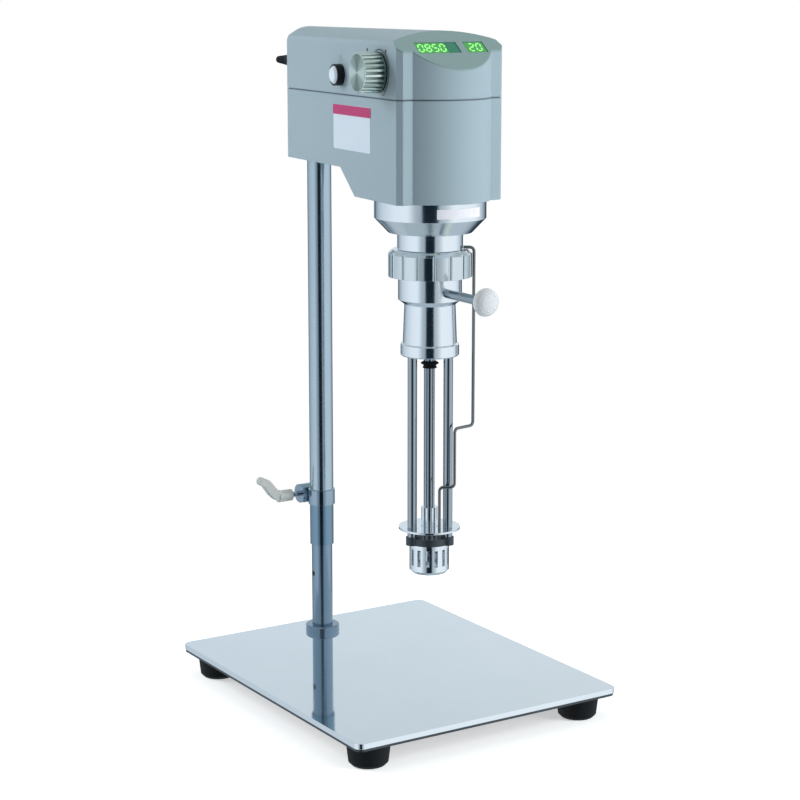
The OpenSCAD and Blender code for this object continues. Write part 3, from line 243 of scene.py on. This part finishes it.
def material(name, dark, light, rough, metal=0.0, grain=900.0, bump=0.0, lathe=0.0, brush=None,
             patch=14.0, coat=0.0, edge=0.0, glow=None, specular=0.5, spun=0.0, painted_light=None):
    """A paint, plastic or metal with slow colour drift, fine grain, tool rings if turned, and
    painted light and shade if given.
    """
    mat = bpy.data.materials.new(name)
    mat.use_nodes = True
    n = Nodes(mat.node_tree)
    place = n.add("ShaderNodeTexCoord").outputs["Object"]
    colour = n.mix(n.noise(place, patch, 4, 0.6), dark, light)
    # Painted light and shade laid over the plain colour
    if painted_light:
        colour = painted_light(n, place, colour)
    shine = n.fade(n.noise(place, patch * SHINE_FINER, 5, 0.65), 0.3, 0.7, *rough)
    ins = {"Base Color": colour, "Metallic": metal, "Roughness": shine, "Coat Weight": coat,
           "Specular IOR Level": specular, "Anisotropic": spun}
    if spun:
        ins["Tangent"] = n.add("ShaderNodeTangent", direction_type="RADIAL", axis="X").outputs[0]
    normal = n.add("ShaderNodeBevel", {"Radius": edge}, samples=4).outputs[0] if edge else None
    if bump:
        if lathe:
            height = lathe_rings(n, place, lathe)
        elif brush:
            streaks = n.add("ShaderNodeMapping", {"Vector": place, "Scale": brush}).outputs[0]
            height = n.noise(streaks, 1.0, 3, 0.7)
        else:
            height = n.noise(place, grain, 2, 0.6)
        relief = {"Height": height, "Strength": bump, "Distance": BUMP_DEPTH}
        if normal:
            relief["Normal"] = normal
        normal = n.add("ShaderNodeBump", relief).outputs[0]
    if normal:
        ins["Normal"] = normal
    if glow:
        ins["Emission Color"] = (*glow[0], 1)
        ins["Emission Strength"] = glow[1]
    shader = n.add("ShaderNodeBsdfPrincipled", ins)
    n.add("ShaderNodeOutputMaterial", {"Surface": shader.outputs[0]})
    return mat


# The record's material slots
SLOTS = {
    "mirror_steel": dict(dark=(0.78, 0.83, 0.87), light=(0.86, 0.90, 0.93), rough=(0.03, 0.07),
                         metal=1, bump=0.02, brush=(40, 1500, 40), edge=0.0006),
    "chrome": dict(dark=(0.52, 0.59, 0.65), light=(0.60, 0.67, 0.73), rough=(0.04, 0.09), metal=1,
                   bump=0.02, grain=600),
    "turned_steel": dict(dark=(0.80, 0.85, 0.89), light=(0.88, 0.92, 0.95), rough=(0.10, 0.16),
                         metal=1, bump=0.10, lathe=2600, edge=0.0003),
    "dark_steel": dict(dark=(0.045, 0.055, 0.065), light=(0.075, 0.09, 0.10), rough=(0.30, 0.42),
                       metal=0.6, bump=0.15),
    "zinc_screw": dict(dark=(0.48, 0.49, 0.50), light=(0.60, 0.61, 0.61), rough=(0.25, 0.40),
                       metal=1, bump=0.1),
    "cast_lever": dict(dark=(0.44, 0.46, 0.45), light=(0.55, 0.57, 0.55), rough=(0.35, 0.5),
                       bump=0.25, grain=1400, edge=0.0008),
    "cast_aluminium": dict(dark=(0.50, 0.51, 0.52), light=(0.62, 0.63, 0.64), rough=(0.4, 0.55),
                           metal=1, bump=0.4),
    # Painted shade along the seam, laid over the paint's colour
    "housing_paint": dict(dark=(0.300, 0.388, 0.435), light=(0.325, 0.416, 0.465),
                          rough=(0.36, 0.44), bump=0.16, grain=1700, patch=6, edge=0.0010,
                          specular=0.30, painted_light=seam_painted_shade),
    "panel_black": dict(dark=(0.222, 0.318, 0.318), light=(0.248, 0.350, 0.350), rough=(0.30, 0.38),
                        bump=0.06, grain=2500, specular=0.35),
    "display": dict(dark=(0.02, 0.10, 0.07), light=(0.03, 0.14, 0.09), rough=(0.08, 0.14), patch=60,
                    coat=0.3),
    "black_plastic": dict(dark=(0.003, 0.004, 0.006), light=(0.006, 0.007, 0.009),
                          rough=(0.28, 0.4), bump=0.1, specular=0.25),
    "white_plastic": dict(dark=(0.60, 0.63, 0.65), light=(0.66, 0.68, 0.70), rough=(0.22, 0.3),
                          bump=0.03, coat=0.1),
    "black_rubber": dict(dark=(0.004, 0.005, 0.006), light=(0.008, 0.009, 0.010), rough=(0.5, 0.65),
                         bump=0.3, grain=1100, specular=0.2),
    # The knob's metal, with painted shade in its grooves and a painted shadow at its foot
    "knob_metal": dict(dark=(0.66, 0.75, 0.69), light=(0.78, 0.87, 0.80), rough=(0.12, 0.18),
                       metal=1, bump=0.03, grain=1500, edge=0.0002, painted_light=knob_painted_shade),
    "winding": dict(dark=(0.30, 0.14, 0.06), light=(0.45, 0.24, 0.10), rough=(0.35, 0.5), bump=0.3),
    "brass_parts": dict(dark=(0.60, 0.38, 0.16), light=(0.72, 0.46, 0.20), rough=(0.25, 0.35),
                        metal=1, bump=0.1),
    "board": dict(dark=(0.04, 0.20, 0.08), light=(0.06, 0.26, 0.11), rough=(0.35, 0.45), bump=0.05),
}
# Finishes of single nodes, and of the scene's own pieces, some with painted light and shade
FINISHES = {
    "cap_white": dict(dark=(0.68, 0.76, 0.84), light=(0.74, 0.82, 0.89), rough=(0.22, 0.3),
                      patch=60, bump=0.03, coat=0.1),
    # The column's chrome, with painted shade on its end below the clamp
    "column_chrome": dict(dark=(0.43, 0.52, 0.59), light=(0.49, 0.59, 0.66), rough=(0.15, 0.20),
                          metal=1, bump=0.02, grain=600, painted_light=column_end_painted_shade),
    # Painted shade: a darker copy of the column's chrome for the post, standing in for its darker
    # reflections
    "post_shaded_chrome": dict(dark=(0.23, 0.32, 0.41), light=(0.27, 0.36, 0.45), rough=(0.15, 0.20),
                        metal=1, bump=0.02, grain=600),
    "band_chrome": dict(dark=(0.30, 0.39, 0.47), light=(0.35, 0.44, 0.52), rough=(0.08, 0.13),
                        metal=1, bump=0.02, edge=0.0005),
    # Painted shade: a darker copy of the chrome for the thin rods, the shaft and the handle rod,
    # which look darker
    "rod_shaded_steel": dict(dark=(0.33, 0.38, 0.42), light=(0.40, 0.45, 0.49), rough=(0.08, 0.13),
                      metal=1, bump=0.04),
    "nut_chrome": dict(dark=(0.67, 0.73, 0.76), light=(0.74, 0.80, 0.83), rough=(0.09, 0.15),
                       metal=1, bump=0.04, edge=0.0004),
    # Painted shade: a darker steel for the thin lift wire, which looks darker
    "wire_shaded_steel": dict(dark=(0.21, 0.22, 0.225), light=(0.27, 0.28, 0.285), rough=(0.18, 0.28),
                       metal=1, bump=0.05),
    "scale_paint": dict(dark=(0.30, 0.37, 0.40), light=(0.34, 0.41, 0.44), rough=(0.3, 0.4),
                        patch=20, bump=0.05),
    # Spun face with a painted reflection: pale and dark wedges
    "spun_face": dict(dark=(0.40, 0.48, 0.43), light=(0.52, 0.60, 0.55), rough=(0.22, 0.30),
                      metal=1, bump=0.04, grain=1500, spun=0.85, painted_light=spun_painted_reflection),
    "label_white": dict(dark=(0.58, 0.67, 0.76), light=(0.64, 0.72, 0.80), rough=(0.3, 0.38),
                        patch=20, bump=0.02),
    "label_magenta": dict(dark=(0.40, 0.012, 0.11), light=(0.50, 0.02, 0.15), rough=(0.3, 0.38),
                          patch=40, bump=0.02),
    "strip_pale": dict(dark=(0.74, 0.74, 0.80), light=(0.80, 0.79, 0.85), rough=(0.25, 0.32),
                       patch=30, bump=0.02),
    "ink_dark": dict(dark=(0.03, 0.045, 0.05), light=(0.05, 0.065, 0.07), rough=(0.4, 0.5),
                     patch=40, bump=0.02),
    "ink_grey": dict(dark=(0.20, 0.26, 0.28), light=(0.24, 0.30, 0.32), rough=(0.4, 0.5), patch=40,
                     bump=0.02),
    "glow_green": dict(dark=(0.04, 0.24, 0.05), light=(0.06, 0.30, 0.07), rough=(0.15, 0.2),
                       patch=60, glow=((0.08, 0.45, 0.08), 0.3)),
    "glow_teal": dict(dark=(0.02, 0.14, 0.09), light=(0.03, 0.18, 0.11), rough=(0.12, 0.18),
                      patch=60, glow=((0.02, 0.20, 0.10), 0.2)),
    "glow_digit": dict(dark=(0.25, 0.80, 0.20), light=(0.30, 0.90, 0.25), rough=(0.2, 0.3),
                       patch=80, glow=((0.35, 1.0, 0.25), 0.6)),
}
# Nodes that look other than their slot
OWN_FINISH = {
    "column_tube": "column_chrome", "post": "post_shaded_chrome", "post_collar": "post_shaded_chrome",
    "support_rods": "rod_shaded_steel", "drive_shaft": "rod_shaded_steel", "handle_rod": "rod_shaded_steel",
    "union_nut": "nut_chrome", "clamp_band": "band_chrome", "clamp_nut": "band_chrome",
    "power_button": "cap_white", "lift_wire": "wire_shaded_steel", "knob_scale": "scale_paint",
}
looks = {name: material(name, **look) for name, look in (SLOTS | FINISHES).items()}
for part in frame["record"]["subparts"]:
    name = part["node"]
    nodes[name].data.materials.clear()
    nodes[name].data.materials.append(looks[OWN_FINISH.get(name, part["material_slot"])])

# Mesh helpers, in millimetres


def finish_piece(bm, name, look, body, place):
    bmesh.ops.recalc_face_normals(bm, faces=bm.faces)
    mesh = bpy.data.meshes.new(name)
    bm.to_mesh(mesh)
    bm.free()
    mesh.transform(place)
    mesh.materials.append(looks[look])
    piece = bpy.data.objects.new(name, mesh)
    scene.collection.objects.link(piece)
    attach(piece, body)


def outline_slab(bm, points, low, high, soft=0.0):
    """A flat slab of a 2-D outline, with its upper edge rounded by soft."""
    levels = [(0.0, low), (0.0, high - soft)]
    if soft:
        turns = (math.pi / 6, math.pi / 3, math.pi / 2)
        levels += [(soft * (1 - math.cos(a)), high - soft * (1 - math.sin(a))) for a in turns]
    count = len(points)
    rings = []
    for inset, z in levels:
        ring = []
        for i in range(count):
            before, here, after = (Vector(points[k]) for k in (i - 1, i, (i + 1) % count))
            along = ((here - before).normalized() + (after - here).normalized()).normalized()
            moved = here + Vector((-along.y, along.x)) * inset
            ring.append(bm.verts.new((moved.x * MM, moved.y * MM, z * MM)))
        rings.append(ring)
    for a, b in zip(rings, rings[1:]):
        for i in range(count):
            bm.faces.new((a[i], a[(i + 1) % count], b[(i + 1) % count], b[i]))
    bm.faces.new(rings[-1])
    bm.faces.new(list(reversed(rings[0])))


def loop_band(bm, section, from_deg, to_deg, steps):
    """Sweeps a closed section of (radius, height) pairs along an arc about z."""
    grid = []
    for i in range(steps + 1):
        a = math.radians(from_deg + (to_deg - from_deg) * i / steps)
        across, up = math.cos(a), math.sin(a)
        grid.append([bm.verts.new((r * MM * across, r * MM * up, z * MM)) for r, z in section])
    count = len(section)
    for a, b in zip(grid, grid[1:]):
        for k in range(count):
            bm.faces.new((a[k], b[k], b[(k + 1) % count], a[(k + 1) % count]))
    bm.faces.new(grid[0])
    bm.faces.new(list(reversed(grid[-1])))


def band_section(r, half, low, high):
    return [(r - half, low), (r + half, low), (r + half, high), (r - half, high)]


def round_rect(w, h, r, steps=5):
    x, y = w / 2 - r, h / 2 - r
    points = []
    for quarter, (cx, cy) in enumerate(((x, y), (-x, y), (-x, -y), (x, -y))):
        for i in range(steps + 1):
            a = math.pi / 2 * (quarter + i / steps)
            points.append((cx + r * math.cos(a), cy + r * math.sin(a)))
    return points


def disc(r, steps=20):
    angles = [2 * math.pi * i / steps for i in range(steps)]
    return [(r * math.cos(a), r * math.sin(a)) for a in angles]


def shift(points, dx, dy):
    return [(x + dx, y + dy) for x, y in points]


# Bare label on the lower housing's left side: a plate with a header over its upper edge

LABEL_PLACE = side_frame(65.5, -55.7)
LABEL = round_rect(86, 43, 2.5)
HEADER = shift(round_rect(88, 9.5, 1.6), 0, 16.6)
for name, outline, low, high, soft, look in (
        ("side_label", LABEL, 0.02, 0.22, 0.06, "label_white"),
        ("side_label_header", HEADER, 0.2, 0.3, 0.03, "label_magenta")):
    bm = bmesh.new()
    outline_slab(bm, outline, low, high, soft)
    finish_piece(bm, name, look, "head", LABEL_PLACE)

# Pale strip round the motor flange, with both edges chamfered

STRIP_T = 0.12
STRIP_LOW, STRIP_HIGH = -16.5, -7.5
STRIP_FROM, STRIP_TO = -116.4, -63.4
STRIP_R = FLANGE_TOP.x / MM + 0.02
bm = bmesh.new()
loop_band(bm, [(STRIP_R, STRIP_LOW), (STRIP_R + STRIP_T, STRIP_LOW + STRIP_T),
               (STRIP_R + STRIP_T, STRIP_HIGH - STRIP_T), (STRIP_R, STRIP_HIGH)],
          STRIP_FROM, STRIP_TO, 48)
finish_piece(bm, "flange_strip", "strip_pale", "head",
             Matrix.Translation((AXIS.x, AXIS.y, FLANGE_TOP.z)))

# Printed arc and dots of the knob's scale, and the mark over the power button

ARC_R, ARC_HALF, ARC_T = 20.9, 0.65, 0.07
ARC_FROM, ARC_TO = -62, 116
DOT_R, DOT_T = 1.7, 0.08
DOTS = ((12.1, 19.6), (-28.7, 20.0), (7.5, -19.6))
MARK_R, MARK_HALF, MARK_T = 2.4, 0.35, 0.06
MARK_FROM, MARK_TO = 120, 420
MARK_UP = 16
knob_place = side_frame(0, 0)
bm = bmesh.new()
loop_band(bm, band_section(ARC_R, ARC_HALF, SCALE_FACE, SCALE_FACE + ARC_T), ARC_FROM, ARC_TO, 60)
finish_piece(bm, "scale_arc", "ink_dark", "head", knob_place)
bm = bmesh.new()
for forward, up in DOTS:
    outline_slab(bm, shift(disc(DOT_R), forward, up), 0.0, DOT_T)
finish_piece(bm, "scale_dots", "ink_dark", "head", knob_place)
bm = bmesh.new()
loop_band(bm, band_section(MARK_R, MARK_HALF, 0.0, MARK_T), MARK_FROM, MARK_TO, 28)
outline_slab(bm, shift(round_rect(2 * MARK_HALF, 2.6, 0.3, 2), 0, MARK_R), 0.0, MARK_T)
finish_piece(bm, "button_mark", "ink_grey", "head",
             side_frame(BUTTON.dot(SIDE_BACK) / MM, BUTTON.z / MM + MARK_UP))

# Spun face of the speed knob

FACE_R, FACE_T, FACE_EDGE = 17.2, 0.12, 0.04
bm = bmesh.new()
outline_slab(bm, disc(FACE_R, 64), KNOB_FACE, KNOB_FACE + FACE_T, FACE_EDGE)
finish_piece(bm, "knob_face", "spun_face", "knob", knob_place)

# Displays: windows sunk in the facet, and plain digits on them

DISPLAY_UP = 30.8
WINDOW_H, WINDOW_CORNER = 13.6, 0.8
WINDOWS = (("speed_lit", -36.3, -4.2, "glow_green"), ("speed_unlit", -3.8, 8.3, "glow_teal"),
           ("time_lit", 17.7, 38.3, "glow_green"))
GLASS_LOW, GLASS_HIGH = -0.58, -0.45
READINGS = ((-32.2, "0850"), (24.0, "20"))
DIGIT_W, DIGIT_H, DIGIT_STEP, SLANT = 5.0, 9.8, 8.0, 0.12
BAR_W, BAR_T = 1.5, 0.07
# How far a bar falls short of the digit's corners, as a share of its width
BAR_SHORT = 0.7
# Each bar's middle, as shares of the digit's width and height, and whether it lies flat
BARS = {"a": (0, 0.5, True), "g": (0, 0, True), "d": (0, -0.5, True), "f": (-0.5, 0.25, False),
        "b": (0.5, 0.25, False), "e": (-0.5, -0.25, False), "c": (0.5, -0.25, False)}
DIGITS = {"0": "abcdef", "2": "abged", "5": "afgcd", "8": "abcdefg"}


def digit(bm, char, x):
    """A slanted seven-segment digit of six-sided bars, its middle at x."""
    for letter in DIGITS[char]:
        across, up, flat = BARS[letter]
        half = ((DIGIT_W if flat else DIGIT_H / 2) - BAR_W * BAR_SHORT) / 2
        tip = BAR_W / 2
        shape = [(-half, 0), (tip - half, -tip), (half - tip, -tip),
                 (half, 0), (half - tip, tip), (tip - half, tip)]
        if not flat:
            shape = [(-b, a) for a, b in shape]
        up *= DIGIT_H
        points = [(x + across * DIGIT_W + a + SLANT * (up + b), up + b) for a, b in shape]
        outline_slab(bm, points, GLASS_HIGH, GLASS_HIGH + BAR_T)


for name, left, right, look in WINDOWS:
    bm = bmesh.new()
    outline_slab(bm, round_rect(right - left, WINDOW_H, WINDOW_CORNER), GLASS_LOW, GLASS_HIGH)
    finish_piece(bm, name, look, "head", facet_frame((left + right) / 2, DISPLAY_UP))
bm = bmesh.new()
for start, reading in READINGS:
    for i, char in enumerate(reading):
        digit(bm, char, start + DIGIT_STEP * i)
finish_piece(bm, "display_digits", "glow_digit", "head", facet_frame(0, DISPLAY_UP))

# Floor: white to the camera away from the object, with the object's shadow near it

FLOOR_HALF = 6
SHADOW_FULL, SHADOW_GONE = 0.30, 0.75
NEAR_LIFT = 0.5
WHITE = (1, 1, 1)
floor_mesh = bpy.data.meshes.new("floor")
bm = bmesh.new()
bmesh.ops.create_grid(bm, x_segments=1, y_segments=1, size=FLOOR_HALF)
bm.to_mesh(floor_mesh)
bm.free()
floor = bpy.data.objects.new("floor", floor_mesh)
scene.collection.objects.link(floor)
floor_mat = bpy.data.materials.new("floor")
floor_mat.use_nodes = True
n = Nodes(floor_mat.node_tree)
place = n.add("ShaderNodeTexCoord").outputs["Object"]
tone = n.mix(n.noise(place, 3.0, 3, 0.5), (0.86, 0.87, 0.88), (0.90, 0.91, 0.92))
cover = n.add("ShaderNodeBsdfDiffuse", {"Color": tone}).outputs[0]
white = n.add("ShaderNodeEmission", {"Color": (*WHITE, 1), "Strength": 1.0}).outputs[0]
lift = n.add("ShaderNodeEmission", {"Color": (*WHITE, 1), "Strength": NEAR_LIFT}).outputs[0]
near = n.add("ShaderNodeAddShader", {0: cover, 1: lift}).outputs[0]
far = n.fade(n.vector("LENGTH", place), SHADOW_FULL, SHADOW_GONE)
shown = n.add("ShaderNodeMixShader", {0: far, 1: near, 2: white}).outputs[0]
direct = n.add("ShaderNodeLightPath").outputs["Is Camera Ray"]
surface = n.add("ShaderNodeMixShader", {0: direct, 1: cover, 2: shown}).outputs[0]
n.add("ShaderNodeOutputMaterial", {"Surface": surface})
floor_mesh.materials.append(floor_mat)
floor.visible_glossy = False

# Studio walls, in degrees round from the photographer's side: pale, with a dark card in front

PHOTOGRAPHER = 122.0
DARK = (0.008, 0.016, 0.026)
DIM = (0.025, 0.045, 0.065)
LOW_WALL = ((-180, DIM), (-158, DIM), (-142, (0.34, 0.42, 0.49)), (-118, (0.60, 0.68, 0.75)),
            (-80, (0.80, 0.88, 0.95)), (-48, (0.84, 0.92, 0.99)), (-32, (0.44, 0.52, 0.58)),
            (-19, (0.34, 0.41, 0.46)), (-16, DARK), (14, DARK), (17, (0.40, 0.47, 0.52)),
            (30, (0.52, 0.59, 0.64)), (48, (0.90, 0.96, 1.0)), (100, (0.86, 0.93, 1.0)),
            (125, (0.58, 0.66, 0.73)), (146, (0.20, 0.26, 0.31)), (158, DIM), (180, DIM))
HIGH_WALL = ((-180, (0.74, 0.82, 0.88)), (-168, (0.68, 0.78, 0.85)), (-120, (0.66, 0.76, 0.84)),
             (-60, (0.55, 0.64, 0.70)), (-17, (0.46, 0.53, 0.58)), (-15, DARK), (13, DARK),
             (17, (0.56, 0.64, 0.70)), (80, (0.80, 0.88, 0.94)), (160, (0.88, 0.92, 0.94)),
             (180, (0.74, 0.82, 0.88)))
# Over the walls, by the height of the view: where each starts, where it is full, and its colour
CEILING_AND_GROUND = ((0.27, 0.47, (0.48, 0.55, 0.58)), (-0.50, -0.75, (0.46, 0.54, 0.60)),
                      (-0.90, -0.96, (0.66, 0.74, 0.58)))
SOFT_LIGHT = (0.31, 0.335, 0.355)
world = bpy.data.worlds.new("studio")
scene.world = world
world.use_nodes = True
n = Nodes(world.node_tree)
axes = n.axes(n.add("ShaderNodeTexCoord").outputs["Generated"])
heading = n.math("DIVIDE", n.math("ARCTAN2", axes["Y"], axes["X"]), 2 * math.pi)
turn = n.math("FRACT", n.math("ADD", heading, PHOTOGRAPHER / 360 + 0.5))


def wall(stops):
    return n.ramp(turn, [(0.5 + angle / 360, colour) for angle, colour in stops])


walls = n.mix(n.fade(axes["Z"], -0.04, 0.04), wall(LOW_WALL), wall(HIGH_WALL))
for start, full, colour in CEILING_AND_GROUND:
    walls = n.mix(n.fade(axes["Z"], start, full), walls, colour)
rays = n.add("ShaderNodeLightPath").outputs
seen = n.mix(rays["Is Diffuse Ray"], walls, SOFT_LIGHT)
straight = n.math("MAXIMUM", rays["Is Camera Ray"], rays["Is Transmission Ray"])
seen = n.mix(straight, seen, WHITE)
background = n.add("ShaderNodeBackground", {"Color": seen, "Strength": 1.0}).outputs[0]
n.add("ShaderNodeOutputWorld", {"Surface": background})

# Lamps: name, place, target, size, watts, colour

LAMPS = (("right_front", (1.75, -2.1, 1.2), (0, 0, 0.5), (1.2, 1.8), 66, (0.97, 0.99, 1.0)),
         ("left_rear", (-1.75, 2.0, 1.5), (0, 0, 0.5), (1.2, 1.8), 58, (0.97, 0.99, 1.0)),
         ("overhead", (0.1, -0.2, 2.6), (0, 0, 0), (2.2, 2.2), 6, (1.0, 1.0, 0.72)))
for name, place, target, size, power, colour in LAMPS:
    data = bpy.data.lights.new(name, "AREA")
    data.shape = "RECTANGLE"
    data.size, data.size_y = size
    data.energy = power
    data.color = colour
    lamp = bpy.data.objects.new(name, data)
    lamp.location = place
    aim = Vector(target) - Vector(place)
    lamp.rotation_euler = aim.to_track_quat("-Z", "Y").to_euler()
    lamp.visible_glossy = False
    scene.collection.objects.link(lamp)
